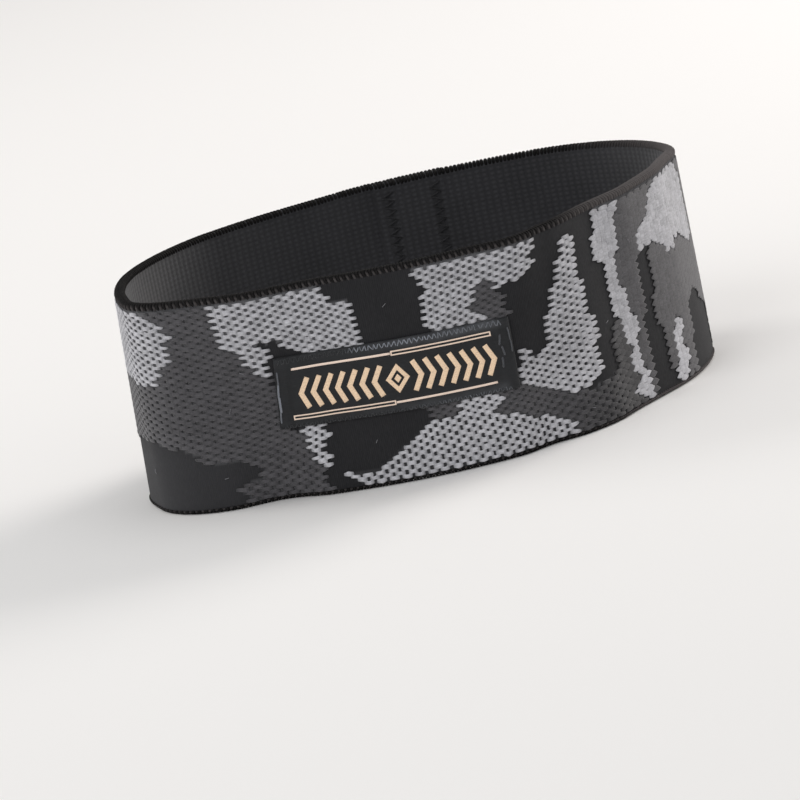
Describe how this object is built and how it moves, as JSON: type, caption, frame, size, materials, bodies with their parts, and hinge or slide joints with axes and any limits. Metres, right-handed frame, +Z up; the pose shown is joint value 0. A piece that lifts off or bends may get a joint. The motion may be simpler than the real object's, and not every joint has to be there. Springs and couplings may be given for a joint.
{
  "type": "bicep band",
  "caption": "Wide woven elastic loop in the form it has round an upper arm, standing on its rim, with lapped seam and a small sewn cloth label on its front.",
  "frame": {"origin": "on the surface that the band stands on, below the middle of its box", "axes": "+Z up along the axis of the loop, from the lower rim to the upper rim; -Y towards the viewer, where the label is; +X to the viewer's right"},
  "size_m": [0.1094, 0.0896, 0.04],
  "materials": {
    "woven_elastic": "woven elastic, matt, in greys and black",
    "label_cloth": "black satin ribbon, slightly glossy"
  },
  "bodies": {
    "root": {"webbing": "woven_elastic", "label": "label_cloth"}
  },
  "joints": []
}
